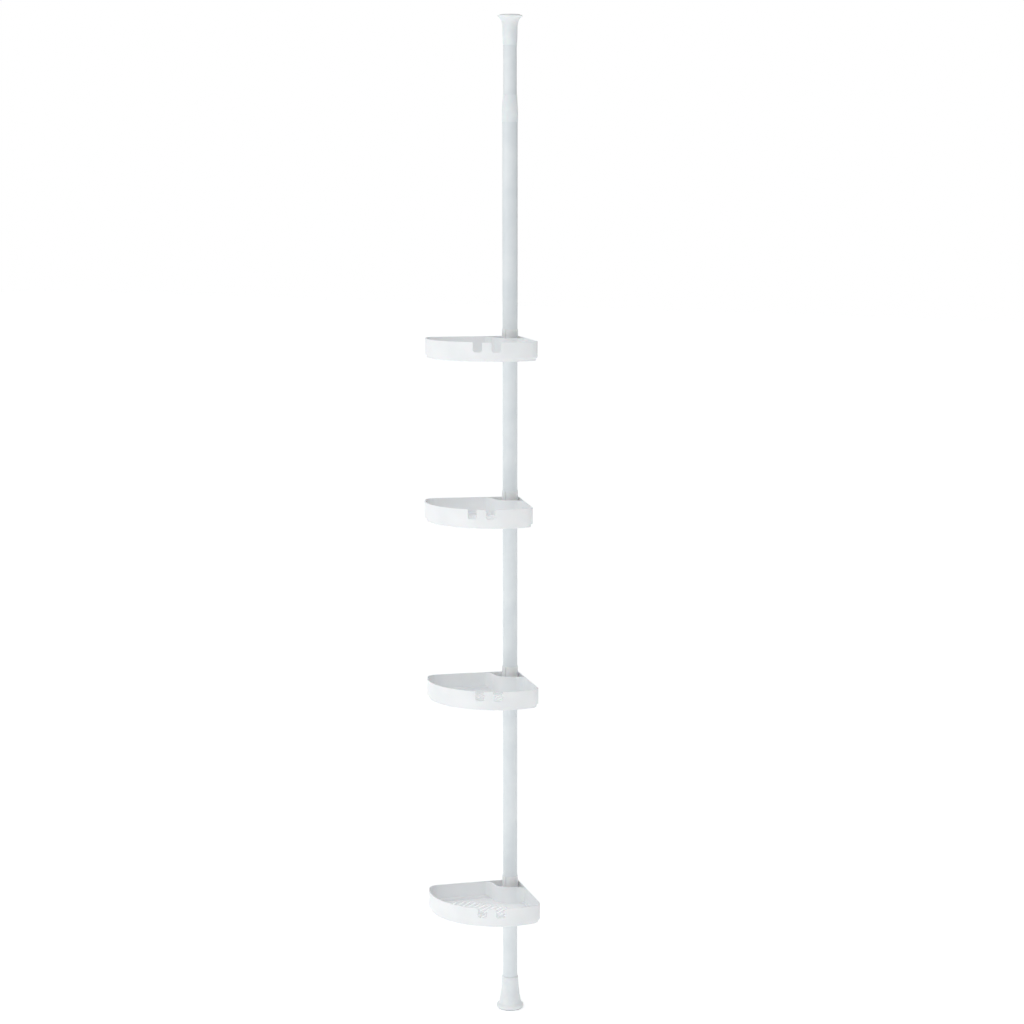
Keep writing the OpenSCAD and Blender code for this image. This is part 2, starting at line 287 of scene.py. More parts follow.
def coil_tree():
    """A round wire wound into a compression spring with flat ends."""
    tree, given = new_tree("wound_spring", [
        ("Solid", "NodeSocketGeometry"), ("Turns", "NodeSocketFloat"), ("Radius", "NodeSocketFloat"),
        ("Height", "NodeSocketFloat"), ("Wire Radius", "NodeSocketFloat"), ("Foot", "NodeSocketFloat"),
        ("Finish", "NodeSocketMaterial"),
    ])
    wind = add(tree, "GeometryNodeCurveSpiral", {
        "Resolution": 32, "Rotations": given.outputs["Turns"], "Start Radius": given.outputs["Radius"],
        "End Radius": given.outputs["Radius"], "Height": 0.0,
    })
    along = add(tree, "GeometryNodeSplineParameter")
    rise = add(tree, "ShaderNodeMapRange", {
        "Value": along.outputs["Factor"], "From Min": 0.06, "From Max": 0.94, "To Min": 0.0,
        "To Max": given.outputs["Height"],
    }, interpolation_type="SMOOTHSTEP")
    height = add(tree, "ShaderNodeMath", {0: rise.outputs[0], 1: given.outputs["Foot"]}, operation="ADD")
    lift = add(tree, "ShaderNodeCombineXYZ", {"Z": height.outputs[0]})
    helix = add(tree, "GeometryNodeSetPosition", {"Geometry": wind.outputs[0], "Offset": lift.outputs[0]})
    section = add(tree, "GeometryNodeCurvePrimitiveCircle", {
        "Resolution": 12, "Radius": given.outputs["Wire Radius"],
    })
    wire = add(tree, "GeometryNodeCurveToMesh", {
        "Curve": helix.outputs[0], "Profile Curve": section.outputs[0], "Fill Caps": True,
    })
    return end_tree(tree, wire.outputs[0], given.outputs["Finish"])


def run_tree(piece, tree, **values):
    """Adds the tree as a modifier and sets its inputs by identifier. '_' in a name is a space."""
    change = piece.modifiers.new(tree.name, "NODES")
    change.node_group = tree
    for item in tree.interface.items_tree:
        key = item.name.replace(" ", "_")
        if item.in_out == "INPUT" and key in values:
            change[item.identifier] = values[key]
    return change


def places_mesh(name, places):
    """Loose points with the turn and stretch of what is put there: (x, y, z, turn in degrees, stretch)."""
    mesh = bpy.data.meshes.new(name)
    mesh.from_pydata([Vector(p[:3]) * MM for p in places], [], [])
    turn = mesh.attributes.new("turn", "FLOAT", "POINT")
    turn.data.foreach_set("value", [math.radians(p[3]) for p in places])
    stretch = mesh.attributes.new("stretch", "FLOAT", "POINT")
    stretch.data.foreach_set("value", [p[4] * MM for p in places])
    return mesh


# --------------------------------------------------------------------------------------------------
# Materials
# --------------------------------------------------------------------------------------------------

def new_material(name, **constants):
    """A material with a Principled shader whose constants are set on its own sockets."""
    material = bpy.data.materials.new(name)
    material.use_nodes = True
    tree = material.node_tree
    tree.nodes.clear()
    settings = {key.replace("_", " "): value for key, value in constants.items()}
    shader = add(tree, "ShaderNodeBsdfPrincipled", settings)
    add(tree, "ShaderNodeOutputMaterial", {"Surface": shader.outputs[0]})
    where = add(tree, "ShaderNodeTexCoord")
    return material, tree, shader, where.outputs["Object"]


def vary_colour(tree, shader, noise, dark, light, low=0.35, high=0.65):
    """Colour that wanders between two shades with a noise."""
    mix = add(tree, "ShaderNodeMapRange", {0: noise.outputs[0], 1: low, 2: high})
    shades = {0: mix.outputs[0], 6: linear(dark), 7: linear(light)}
    colour = add(tree, "ShaderNodeMix", shades, data_type="RGBA")
    tree.links.new(colour.outputs[2], shader.inputs["Base Color"])


def vary_roughness(tree, shader, noise, smooth, rough):
    """Roughness that wanders between two values with a noise."""
    amount = add(tree, "ShaderNodeMapRange", {0: noise.outputs[0], 1: 0.3, 2: 0.7, 3: smooth, 4: rough})
    tree.links.new(amount.outputs[0], shader.inputs["Roughness"])


def raise_surface(tree, shader, heights):
    """Bump from a list of (noise, depth in millimetres), the coarse ones first."""
    normal = None
    for noise, depth in heights:
        wires = {"Height": noise.outputs[0], "Distance": depth * MM, "Strength": 1.0}
        if normal:
            wires["Normal"] = normal
        normal = add(tree, "ShaderNodeBump", wires).outputs[0]
    tree.links.new(normal, shader.inputs["Normal"])


def moulded_abs():
    """White ABS from a polished mould: a soft satin gloss, a faint flow pattern and a very fine skin."""
    material, tree, shader, where = new_material(
        "moulded_abs", IOR=1.53, Subsurface_Weight=0.08, Subsurface_Scale=0.002,
    )
    flow = add(tree, "ShaderNodeTexNoise", {"Vector": where, "Scale": per_mm(55), "Detail": 2.0})
    skin = add(tree, "ShaderNodeTexNoise", {"Vector": where, "Scale": per_mm(1.1), "Detail": 3.0})
    sink = add(tree, "ShaderNodeTexNoise", {"Vector": where, "Scale": per_mm(24), "Detail": 1.0})
    vary_colour(tree, shader, flow, "#F1F3F4", "#F7F8F9")
    vary_roughness(tree, shader, skin, 0.30, 0.40)
    raise_surface(tree, shader, [(sink, 0.12), (skin, 0.006)])
    return material


def powder_coat():
    """White powder-coated steel tube: a slightly cool white with the orange peel of a baked powder film."""
    material, tree, shader, where = new_material(
        "powder_coated_steel", IOR=1.52, Coat_Weight=0.6, Coat_Roughness=0.12,
    )
    film = add(tree, "ShaderNodeTexNoise", {"Vector": where, "Scale": per_mm(40), "Detail": 2.0})
    peel = add(tree, "ShaderNodeTexNoise", {"Vector": where, "Scale": per_mm(1.6), "Detail": 1.5})
    vary_colour(tree, shader, film, "#E3E8EB", "#EBEFF1")
    vary_roughness(tree, shader, peel, 0.30, 0.38)
    raise_surface(tree, shader, [(peel, 0.012)])
    return material


def moulded_polypropylene():
    """White polypropylene of the foot, cap and bush: softer gloss than ABS, with a slightly waxy depth."""
    material, tree, shader, where = new_material(
        "moulded_polypropylene", IOR=1.49, Subsurface_Weight=0.12, Subsurface_Scale=0.003,
    )
    flow = add(tree, "ShaderNodeTexNoise", {"Vector": where, "Scale": per_mm(18), "Detail": 2.0})
    skin = add(tree, "ShaderNodeTexNoise", {"Vector": where, "Scale": per_mm(0.8), "Detail": 2.0})
    vary_colour(tree, shader, flow, "#E9ECEE", "#F1F3F4")
    vary_roughness(tree, shader, skin, 0.36, 0.46)
    raise_surface(tree, shader, [(skin, 0.008)])
    return material


def clip_acetal():
    """Natural acetal of the split clips: a milky white that is a little duller than the trays."""
    material, tree, shader, where = new_material(
        "natural_acetal", IOR=1.48, Subsurface_Weight=0.1, Subsurface_Scale=0.001,
    )
    cloud = add(tree, "ShaderNodeTexNoise", {"Vector": where, "Scale": per_mm(9), "Detail": 2.0})
    skin = add(tree, "ShaderNodeTexNoise", {"Vector": where, "Scale": per_mm(0.7), "Detail": 2.0})
    vary_colour(tree, shader, cloud, "#F2F3F3", "#F8F8F8")
    vary_roughness(tree, shader, skin, 0.42, 0.52)
    raise_surface(tree, shader, [(skin, 0.006)])
    return material


def pad_rubber():
    """Pale grey vulcanised rubber of the two end pads: matt, with a fine bloom."""
    material, tree, shader, where = new_material("vulcanised_rubber", IOR=1.52)
    bloom = add(tree, "ShaderNodeTexNoise", {"Vector": where, "Scale": per_mm(6), "Detail": 4.0})
    grit = add(tree, "ShaderNodeTexNoise", {"Vector": where, "Scale": per_mm(0.5), "Detail": 2.0})
    vary_colour(tree, shader, bloom, "#A9ACAE", "#BDC0C2")
    vary_roughness(tree, shader, grit, 0.65, 0.80)
    raise_surface(tree, shader, [(grit, 0.02)])
    return material


def natural_nylon():
    """Natural nylon 6 of the inner parts: a warm off-white with a dull moulded skin."""
    material, tree, shader, where = new_material(
        "natural_nylon", IOR=1.53, Subsurface_Weight=0.15, Subsurface_Scale=0.002,
    )
    cloud = add(tree, "ShaderNodeTexNoise", {"Vector": where, "Scale": per_mm(10), "Detail": 2.0})
    skin = add(tree, "ShaderNodeTexNoise", {"Vector": where, "Scale": per_mm(0.6), "Detail": 2.0})
    vary_colour(tree, shader, cloud, "#DCD8CC", "#E6E3D9")
    vary_roughness(tree, shader, skin, 0.45, 0.58)
    raise_surface(tree, shader, [(skin, 0.006)])
    return material


def spring_wire():
    """Drawn spring steel: bare grey metal with fine lines from the drawing die."""
    material, tree, shader, where = new_material("drawn_spring_steel", Metallic=1.0)
    lines = add(tree, "ShaderNodeTexNoise", {"Vector": where, "Scale": per_mm(0.4), "Detail": 3.0})
    tint = add(tree, "ShaderNodeTexNoise", {"Vector": where, "Scale": per_mm(8), "Detail": 2.0})
    vary_colour(tree, shader, tint, "#9A9DA0", "#B2B5B8")
    vary_roughness(tree, shader, lines, 0.26, 0.42)
    raise_surface(tree, shader, [(lines, 0.004)])
    return material


ABS = moulded_abs()
POWDER = powder_coat()
POLYPROPYLENE = moulded_polypropylene()
ACETAL = clip_acetal()
RUBBER = pad_rubber()
NYLON = natural_nylon()
WIRE = spring_wire()

CUT = cut_tree()
COIL = coil_tree()


def show(name, mesh, material, body, slot, *nodes):
    """Puts a finished mesh in the scene as the piece that stands for these CAD nodes."""
    if not mesh.materials:
        mesh.materials.append(material)
    piece = place_mesh(name, finish_mesh(mesh))
    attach(piece, body)
    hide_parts(*nodes)
    return piece


# --------------------------------------------------------------------------------------------------
# Pole
# --------------------------------------------------------------------------------------------------

def tube_profile(outer, inner, low, high, edge):
    """Cross-section of a tube with rounded ends."""
    return rounded([(inner, low), (outer, low), (outer, high), (inner, high)], edge, 3)


def pole_sections():
    for node in ("lower_pole", "middle_pole", "upper_pole"):
        low, high = limits(node)
        mesh = revolve(node, tube_profile(POLE_R, POLE_R - TUBE_WALL, low.z, high.z, 0.3))
        show(node + "_tube", mesh, POWDER, "pole", "white_steel", node)
    low, high = limits("extension_pole")
    mesh = revolve("extension", tube_profile(EXTENSION_R, EXTENSION_R - TUBE_WALL, low.z, high.z, 0.3))
    show("extension_tube", mesh, POWDER, "extension", "white_steel", "extension_pole")


def joiners():
    wall = 1.5
    for node in ("lower_joiner", "upper_joiner"):
        low, high = limits(node)
        r = radius(node)
        outline = [(r - wall, low.z), (r - 0.8, low.z), (r, low.z + 1), (r, high.z - 1), (r - 0.8, high.z),
                   (r - wall, high.z)]
        mesh = revolve(node, rounded(outline, [0.2, 0.2, 0.6, 0.6, 0.2, 0.2], 3))
        show(node + "_sleeve", mesh, NYLON, "pole", "nylon", node)


def foot():
    low, high = limits("foot")
    r = radius("foot")
    pad_high = limits("floor_pad")[1].z
    pad_r = radius("floor_pad") + SEAT_GAP
    socket_r = POLE_R + SEAT_GAP
    socket_z = limits("lower_pole")[0].z
    outline = [
        (0, pad_high), (pad_r, pad_high), (pad_r, low.z), (r - 0.8, low.z), (r, low.z + 0.8),
        (r, low.z + 4.2),
        (r - 0.9, low.z + 5.6), (r - 3.4, low.z + 7.6), (r - 4.4, low.z + 10), (r - 5.4, low.z + 15),
        (r - 6.8, low.z + 23), (r - 7.8, low.z + 31), (r - 8.6, low.z + 40), (r - 9.2, high.z - 0.8),
        (r - 9.9, high.z), (socket_r, high.z), (socket_r, socket_z), (0, socket_z),
    ]
    smooth = [0, 0.3, 0, 0.5, 1.0, 1.2, 1.5, 2.5, 8, 20, 30, 30, 20, 1.0, 0.6, 0.4, 0.3, 0]
    mesh = revolve("foot", rounded(outline, smooth, 5))
    show("flared_foot", mesh, POLYPROPYLENE, "pole", "white_plastic", "foot")


def reducer():
    low, high = limits("reducer")
    peak = limits("upper_pole")[1].z
    hole = EXTENSION_R + RUNNING_GAP
    grip = POLE_R + SEAT_GAP
    outline = [
        (grip, low.z), (POLE_R + 0.35, low.z), (POLE_R + 0.6, peak - 8), (POLE_R + 0.6, peak + 1),
        (POLE_R + 0.2, peak + 6), (EXTENSION_R + 0.9, high.z - 4), (EXTENSION_R + 0.6, high.z),
        (hole, high.z),
        (hole, peak), (grip, peak),
    ]
    smooth = [0, 0.2, 20, 8, 12, 3, 0.3, 0.2, 0.2, 0]
    mesh = revolve("reducer", rounded(outline, smooth, 5))
    show("reducer_bush", mesh, POLYPROPYLENE, "pole", "white_plastic", "reducer")


def top_cap():
    low, high = limits("top_cap")
    r = radius("top_cap")
    pad_r = radius("ceiling_pad") + SEAT_GAP
    pad_low = limits("ceiling_pad")[0].z
    hole = EXTENSION_R + RUNNING_GAP
    stem_r = EXTENSION_R - TUBE_WALL - 0.3
    stem_low = limits("tension_spring")[1].z + 0.2
    base = high.z - 48
    web = high.z - 4
    edge = EXTENSION_R
    outline = [
        (0, stem_low), (stem_r, stem_low), (stem_r, web), (hole, web), (hole, base), (edge + 0.6, base),
        (edge + 0.85, base + 8), (edge + 1.1, base + 15), (edge + 1.3, base + 24), (edge + 1.5, base + 32),
        (edge + 2.4, base + 37), (edge + 3.9, base + 40.5), (edge + 6.1, base + 43.5), (r - 1.4, high.z - 3),
        (r, high.z - 2), (r, high.z - 0.7), (r - 0.7, high.z), (pad_r, high.z), (pad_r, pad_low),
        (0, pad_low),
    ]
    smooth = [0, 1, 0.3, 0, 0.15, 0.2, 20, 20, 20, 12, 8, 6, 6, 3, 0.7, 0.5, 0.5, 0.3, 0.2, 0]
    mesh = revolve("top_cap", rounded(outline, smooth, 5))
    show("flared_cap", mesh, POLYPROPYLENE, "top_end", "white_plastic", "top_cap")


def groove_cutter(length, width, depth):
    """A bar with a rounded upper side that cuts a groove along +X."""
    section = rounded([(-width / 2, -1), (width / 2, -1), (width / 2, depth), (-width / 2, depth)],
                      [0, 0, width * 0.4, width * 0.4], 4)
    loops = [[(x, y, z) for y, z in section] for x in (0, length)]
    return loft("groove", loops)


def end_pads():
    """Rubber pads with rounded edges, radial grooves and a round recess on the side that grips."""
    for node, body, gripping in (("floor_pad", "pole", -1), ("ceiling_pad", "top_end", 1)):
        low, high = limits(node)
        r = radius(node)
        face = low.z if gripping < 0 else high.z
        back = high.z if gripping < 0 else low.z
        inward = -gripping
        outline = [
            (0, back), (r, back), (r, face), (r * 0.42, face), (r * 0.40, face + inward), (0, face + inward),
        ]
        mesh = revolve(node, rounded(outline, [0, 0.2, 0.7, 0.3, 0.2, 0], 4))
        solid = place_mesh(node + "_solid", mesh)
        places = place_mesh("groove_places", places_mesh("groove_places", [
            (0, 0, face, 360 * k / 16, 0) for k in range(16)
        ]))
        bar = groove_cutter(r * 0.34, 1.2, 0.8)
        bar.transform(Matrix.Translation((r * 0.54 * MM, 0, 0)))
        if gripping > 0:
            bar.transform(Matrix.Rotation(math.pi, 4, "X"))
        cutter = place_mesh("groove_cutter", bar)
        run_tree(solid, CUT, Places=places, Cutter=cutter, Finish=RUBBER)
        made = evaluated(solid, node)
        discard(solid, places, cutter)
        show(node + "_rubber", made, RUBBER, body, "pad_rubber", node)


def twist_lock():
    """The plug that swells in the upper tube, and the spindle in the telescopic tube's lower end."""
    low, high = limits("expansion_plug")
    r = radius("expansion_plug")
    pin = 4
    outline = [(pin + RUNNING_GAP, low.z), (r, low.z), (r, high.z), (pin + RUNNING_GAP, high.z)]
    solid = place_mesh("plug_solid", revolve("expansion_plug", rounded(outline, [0.4, 1.2, 1.2, 0.4], 4)))
    slit = loft("slit", [
        [(x, y, z) for x, y in ((-0.75, -15), (0.75, -15), (0.75, 15), (-0.75, 15))] for z in (-1, 20)
    ])
    places = place_mesh("slit_places", places_mesh("slit_places", [
        (0, 0, low.z, 90 * k, 0) for k in range(2)
    ]))
    cutter = place_mesh("slit_cutter", slit)
    run_tree(solid, CUT, Places=places, Cutter=cutter, Finish=NYLON)
    made = evaluated(solid, "expansion_plug")
    discard(solid, places, cutter)
    show("expanding_plug", made, NYLON, "lock_plug", "nylon", "expansion_plug")

    tube_z = limits("extension_pole")[0].z
    spindle_low, spindle_high = limits("lock_spindle")
    bore = EXTENSION_R - TUBE_WALL - SEAT_GAP
    head = 7
    outline = [
        (0, spindle_low.z), (head, spindle_low.z), (head, low.z - 0.3), (pin, low.z - 0.3),
        (pin, high.z + 0.3),
        (EXTENSION_R, high.z + 0.3), (EXTENSION_R, tube_z), (bore, tube_z), (bore, spindle_high.z),
        (0, spindle_high.z),
    ]
    mesh = revolve("lock_spindle", rounded(outline, [0, 0.8, 0.5, 0.1, 0.2, 0.3, 0.2, 0, 1.2, 0], 3))
    show("lock_spindle_plug", mesh, NYLON, "extension", "nylon", "lock_spindle")


def spring_and_seat():
    low, high = limits("spring_seat")
    r = radius("spring_seat")
    spigot = 5
    top = high.z - 6
    outline = [(0, low.z), (r, low.z), (r, top), (spigot, top), (spigot, high.z), (0, high.z)]
    mesh = revolve("spring_seat", rounded(outline, [0, 0.8, 0.5, 0.3, 1, 0], 3))
    show("spring_seat_plug", mesh, NYLON, "extension", "nylon", "spring_seat")

    low, high = limits("tension_spring")
    wire = 1.0
    winder = place_mesh("winder", bpy.data.meshes.new("winder"))
    run_tree(
        winder, COIL, Turns=8.0, Radius=(radius("tension_spring") - wire) * MM, Wire_Radius=wire * MM,
        Height=(high.z - low.z - 2 * wire) * MM, Foot=(low.z + wire) * MM, Finish=WIRE,
    )
    made = finish_mesh(evaluated(winder, "tension_spring"))
    discard(winder)
    spring = place_mesh("coil_spring", made)
    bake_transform(spring)
    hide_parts("tension_spring")


# --------------------------------------------------------------------------------------------------
# Trays: made with the rim at z = 0 and the front towards -Y, then turned and lifted to their place
# --------------------------------------------------------------------------------------------------

CORNER_BACK = 24.8      # from the pole's axis back to the corner
FRONT_R = 116.3         # radius of the bowed front wall
FRONT_CENTRE = 68.5     # from the corner forward to the centre of that radius
TIP_R = 20.0
CORNER_R = 8.0
WALL_H = 26.5
WALL_T = 2.2
PAN_Z = -31.5
PAN_INSET = 2.8
CLIP_R = POLE_R + RUNNING_GAP + 0.95
SOCKET_BORE_R = CLIP_R + RUNNING_GAP
INNER_WALL = CORNER_BACK * math.sin(math.radians(45)) - WALL_T
SOCKET_R = INNER_WALL + 0.5
SOCKET_DROP = 8.0
NOTCH_ANGLES = (18, 33)
NOTCH_W = 15.0
NOTCH_H = 16.0
SLOT_W = 4.0
SLOT_PITCH = 10.0
SLOT_ROWS = 7
SLOT_START = 70.0       # from the corner to the first slots
BRIDGE = 120.0          # from the corner to the bar that crosses the slots
BRIDGE_W = 9.0
POCKET_R = 29.5         # curved wall round the pole
POCKET_FILLET = 15.0    # its blend into the straight walls
BLEND_IN = 0.6          # how far the blend runs into them, so that it doesn't end in a knife edge
POCKET_DROP = 1.2
POCKET_DRAIN_R = 2.5
POCKET_DRAIN_ANGLE = 40.0


def bow(ahead, side, r, start, end, count):
    """Points of an arc about a centre ahead of the corner; angles turn from straight ahead to the side."""
    points = []
    for i in range(count + 1):
        a = start + (end - start) * i / count
        points.append(Vector((side + r * math.sin(a), CORNER_BACK - ahead - r * math.cos(a))))
    return points


def tip_centre():
    """Distance ahead of the corner and to the side of the centre of a rounded tip."""
    diagonal = TIP_R * math.sqrt(2)
    reach = math.sqrt(2 * (FRONT_R - TIP_R) ** 2 - (FRONT_CENTRE - diagonal) ** 2)
    ahead = (FRONT_CENTRE + diagonal + reach) / 2
    return ahead, ahead - diagonal


def wall_outline(inset):
    """Outline of the side wall, moved inwards by inset."""
    ahead, side = tip_centre()
    a = math.atan2(side, ahead - FRONT_CENTRE)
    quarter = math.radians(135)
    return (
        bow(FRONT_CENTRE, 0, FRONT_R - inset, -a, a, 96)
        + bow(ahead, side, TIP_R - inset, a, quarter, 20)[1:]
        + bow(CORNER_R * math.sqrt(2), 0, CORNER_R - inset, quarter, 2 * math.pi - quarter, 12)
        + bow(ahead, -side, TIP_R - inset, -quarter, -a, 20)[:-1]
    )


def pocket_outline(inset):
    """Outline of the pocket round the pole, moved inwards by inset; it ends inside the straight walls."""
    reach = POCKET_R + POCKET_FILLET
    off = INNER_WALL + BLEND_IN - POCKET_FILLET
    turned = math.radians(45) + math.atan2(off, math.sqrt(reach * reach - off * off))
    ahead = CORNER_BACK + reach * math.cos(turned)
    side = reach * math.sin(turned)
    r = POCKET_FILLET + inset
    end = math.radians(225) - math.acos(min(1, (POCKET_FILLET + 1) / r))
    return (
        bow(ahead, -side, r, end, math.pi - turned, 20)
        + bow(CORNER_BACK, 0, POCKET_R - inset, -turned, turned, 48)[1:-1]
        + bow(ahead, side, r, turned - math.pi, -end, 20)
        + [Vector((0, (INNER_WALL + 1) / math.sin(math.radians(45))))]
    )


def at_height(outline, z):
    return [(p.x, p.y, z) for p in outline]


def slot_places():
    """Where the drain slots start, and how much longer than wide they are.

    They stand a hundredth of a millimetre off the pan's middle line, where a cut would meet its edges.
    """
    places = []
    for i in range(-SLOT_ROWS, SLOT_ROWS + 1):
        x = i * SLOT_PITCH
        start = max(abs(x) + 17, SLOT_START)
        end = FRONT_CENTRE + math.sqrt((FRONT_R - 14) ** 2 - x * x)
        for near, far in ((start, BRIDGE - BRIDGE_W / 2), (BRIDGE + BRIDGE_W / 2, end)):
            if far - near > 2 * SLOT_W:
                places.append((x + 0.01, CORNER_BACK - far + SLOT_W / 2, PAN_Z, 0, far - near - SLOT_W))
    return places


def slot_cutter():
    """An upright bar with round ends that shrinks to a circle where it isn't stretched."""
    r = SLOT_W / 2
    steps = 8
    outline = []
    for end in (0, 1):
        for k in range(steps + 1):
            a = math.pi * (end + k / steps) + math.pi
            outline.append((r * math.cos(a), r * math.sin(a), end))
    loops = [[(x, y + end * 0.01, z) for x, y, end in outline] for z in (-2, 6)]
    mesh = loft("slot_cutter", loops)
    far_end = mesh.attributes.new("far_end", "FLOAT", "POINT")
    far_end.data.foreach_set("value", [float(end) for _ in range(2) for x, y, end in outline])
    return mesh


def notch_cutter():
    """An upright U that stands out of the front wall's middle line."""
    half = NOTCH_W / 2
    section = rounded([(-half, -NOTCH_H), (half, -NOTCH_H), (half, 6), (-half, 6)], [4, 4, 0, 0], 8)
    loops = [[(x, y, z) for x, z in section] for y in (-FRONT_R - 6, -FRONT_R + 8)]
    return loft("notch_cutter", loops)


def drain_centre(side):
    """Centre of a drain hole in the pocket, on the right for side 1 and on the left for side -1."""
    r = (POCKET_R - WALL_T + SOCKET_R) / 2
    turn = math.radians(POCKET_DRAIN_ANGLE)
    return side * r * math.sin(turn), -r * math.cos(turn)


def tray_mesh():
    """One tray about the pole's axis, with its rim at z = 0."""
    floor = WALL_T - WALL_H
    shell = loft("tray", [at_height(wall_outline(i), z) for i, z in (
        (0.0, -WALL_H), (0.0, 0.0), (WALL_T, 0.0), (WALL_T, floor),
    )])
    pan = loft("pan", [at_height(wall_outline(PAN_INSET), z) for z in (PAN_Z, floor - 1)])
    pan_inside = loft("pan_inside", [
        at_height(wall_outline(PAN_INSET + WALL_T), z) for z in (PAN_Z + WALL_T, floor + 1)
    ])
    low, high = PAN_Z + WALL_T - 0.5, -POCKET_DROP
    pocket = loft("pocket", [at_height(pocket_outline(0), z) for z in (low, high)])
    hollow = loft("hollow", [at_height(pocket_outline(WALL_T), z) for z in (low - 1, high + 1)])
    bounds = loft("bounds", [at_height(wall_outline(WALL_T - 0.5), z) for z in (low - 2, high + 2)])
    pocket_wall = combine(pocket, ("DIFFERENCE", hollow), ("INTERSECT", bounds))
    socket = revolve("socket", [(0, PAN_Z), (SOCKET_R, PAN_Z), (SOCKET_R, -SOCKET_DROP), (0, -SOCKET_DROP)])
    bore = revolve("bore", [(0, PAN_Z - 2), (SOCKET_BORE_R, PAN_Z - 2), (SOCKET_BORE_R, 0), (0, 0)])
    body = combine(
        shell, ("UNION", pan), ("DIFFERENCE", pan_inside), ("UNION", pocket_wall), ("UNION", socket),
        ("DIFFERENCE", bore),
    )
    solid = place_mesh("tray_solid", body)
    slots = place_mesh("slot_places", places_mesh("slot_places", slot_places()))
    slot = place_mesh("slot_cutter", slot_cutter())
    notches = place_mesh("notch_places", places_mesh("notch_places", [
        (0, CORNER_BACK - FRONT_CENTRE, 0, angle, 0) for angle in NOTCH_ANGLES
    ]))
    notch = place_mesh("notch_cutter", notch_cutter())
    drains = place_mesh("drain_places", places_mesh("drain_places", [
        (*drain_centre(side), PAN_Z, 0, 0) for side in (-1, 1)
    ]))
    drain = place_mesh("drain_cutter", revolve("drain_cutter", [
        (0, -2), (POCKET_DRAIN_R, -2), (POCKET_DRAIN_R, 6), (0, 6),
    ], 32))
    run_tree(solid, CUT, Places=slots, Cutter=slot, Finish=ABS)
    run_tree(solid, CUT, Places=notches, Cutter=notch, Finish=ABS)
    run_tree(solid, CUT, Places=drains, Cutter=drain, Finish=ABS)
    cut = evaluated(solid, "tray_cut")
    discard(solid, slots, slot, notches, notch, drains, drain)
    return round_edges(cut)


def blend_distance(point):
    """Distance, seen from above, to where the pocket's wall runs into the nearer straight wall."""
    reach = POCKET_R + POCKET_FILLET
    off = INNER_WALL + BLEND_IN - POCKET_FILLET
    turned = math.radians(45) + math.atan2(off, math.sqrt(reach * reach - off * off))
    half = math.sqrt(0.5)
    centre = Vector((reach * math.sin(turned), -reach * math.cos(turned)))
    end = centre + Vector((half, half)) * POCKET_FILLET
    return (Vector((abs(point.x), point.y)) - end * MM).length


def round_edges(mesh):
    """Rounds every edge of a moulded piece, the rim's the most."""
    bm = bmesh.new()
    bm.from_mesh(mesh)
    bmesh.ops.remove_doubles(bm, verts=bm.verts, dist=2e-6)
    # Straight cuts through every opening, so that no flat face is left with a hole in it.
    drain_x = drain_centre(1)[0]
    for x in [-drain_x, drain_x] + [i * SLOT_PITCH for i in range(-SLOT_ROWS, SLOT_ROWS + 1)]:
        whole = bm.verts[:] + bm.edges[:] + bm.faces[:]
        cut = bmesh.ops.bisect_plane(bm, geom=whole, dist=2e-6, plane_co=(x * MM, 0, 0), plane_no=(1, 0, 0))
        for part in cut["geom_cut"]:
            if isinstance(part, bmesh.types.BMEdge):
                part.seam = True
    flat = math.radians(0.2)
    bmesh.ops.dissolve_limit(bm, angle_limit=flat, verts=bm.verts, edges=bm.edges, delimit={"SEAM"})
    weight = bm.edges.layers.float.new("bevel_weight_edge")
    for edge in bm.edges:
        if len(edge.link_faces) == 2 and edge.calc_face_angle() > math.radians(32):
            at_rim = all(abs(v.co.z) < 1e-4 for v in edge.verts)
            at_blend = all(blend_distance(v.co) < 5 * MM for v in edge.verts) and not at_rim
            edge[weight] = 1.0 if at_rim else 0.0 if at_blend else 0.55
    bm.to_mesh(mesh)
    bm.free()
    solid = place_mesh("sharp_tray", mesh)
    change = solid.modifiers.new("rounding", "BEVEL")
    change.limit_method = "WEIGHT"
    change.width = 0.8 * MM
    change.segments = 3
    change.use_clamp_overlap = False
    change.miter_outer = "MITER_ARC"
    made = evaluated(solid, "tray")
    discard(solid)
    return made


def trays():
    model = tray_mesh()
    for name, turn in zip(TRAYS, TRAY_TURN):
        node = name + "_tray"
        low = limits(node)[0]
        mesh = model.copy()
        lift = Matrix.Translation((0, 0, (low.z - PAN_Z) * MM))
        mesh.transform(lift @ Matrix.Rotation(math.radians(turn), 4, "Z"))
        show(name + "_corner_tray", mesh, ABS, node, "white_plastic", node)


def clips():
    """Two half shells round the pole for each tray, with a flange that the tray sits on."""
    slit = 1.2
    flange_r = 16.5
    flange_h = 3.2
    inner = POLE_R + RUNNING_GAP
    edge = math.degrees(math.asin(slit / 2 / inner))
    for name in TRAYS:
        low, high = limits(name + "_clip_left")
        outline = rounded([
            (inner, low.z), (flange_r, low.z), (flange_r, low.z + flange_h), (CLIP_R, low.z + flange_h),
            (CLIP_R, high.z), (inner, high.z),
        ], [0.2, 0.6, 0.6, 0.3, 0.4, 0.2], 4)
        for side, start in (("left", 90 + edge), ("right", -90 + edge)):
            node = f"{name}_clip_{side}"
            mesh = revolve(node, outline, 48, start, 180 - 2 * edge)
            show(node + "_half", mesh, ACETAL, name + "_clip", "clip_plastic", node)


# --------------------------------------------------------------------------------------------------
# Studio
# --------------------------------------------------------------------------------------------------

CAMERA_AZIMUTH = math.radians(32.3)
CAMERA_DISTANCE = 3.962     # metres, level with the floor, from the pole
CAMERA_HEIGHT = 1.409
CAMERA_PITCH = math.radians(7.865)
CAMERA_LENS = 83.88
CAMERA_YAW = math.radians(0.048)


